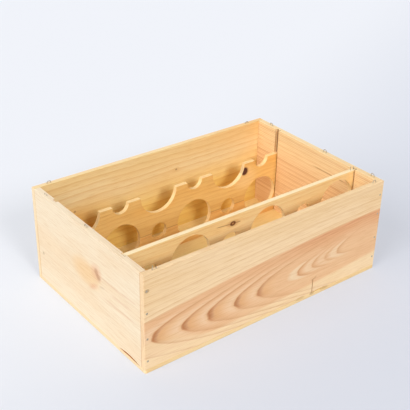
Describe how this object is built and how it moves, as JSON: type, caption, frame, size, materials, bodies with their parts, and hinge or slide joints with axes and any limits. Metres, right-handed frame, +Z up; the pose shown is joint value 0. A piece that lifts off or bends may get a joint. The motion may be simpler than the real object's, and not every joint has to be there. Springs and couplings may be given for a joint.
{
  "type": "wine crate",
  "caption": "Open pine crate for wine bottles lying in two layers: nailed boards, grooved ends and loose scalloped rack strips, its lid pulled off.",
  "frame": {"origin": "middle of the underside", "axes": "+X along the case to its right end, -Y to the figured front panel, +Z up"},
  "size_m": [0.502, 0.33, 0.1877],
  "materials": {
    "front_pine": "sawn pine with reddish heart figure",
    "side_pine": "planed pine, straight grain",
    "end_pine": "planed pale pine",
    "base_pine": "sawn pine",
    "rack_pine": "sawn pine",
    "nail_steel": "dull wire"
  },
  "bodies": {
    "root": {"front_panel": "front_pine", "back_panel": "side_pine", "left_end": "end_pine", "right_end": "end_pine", "front_base_board": "base_pine", "rear_base_board": "base_pine", "front_rack_lower_strip": "rack_pine", "front_rack_middle_strip": "rack_pine", "front_rack_top_strip": "rack_pine", "rear_rack_lower_strip": "rack_pine", "rear_rack_middle_strip": "rack_pine", "front_left_corner_nails": "nail_steel", "front_right_corner_nails": "nail_steel", "back_left_corner_nails": "nail_steel", "back_right_corner_nails": "nail_steel", "front_base_nails": "nail_steel", "rear_base_nails": "nail_steel", "left_base_nails": "nail_steel", "right_base_nails": "nail_steel", "lid_nail_stubs": "nail_steel"}
  },
  "joints": []
}
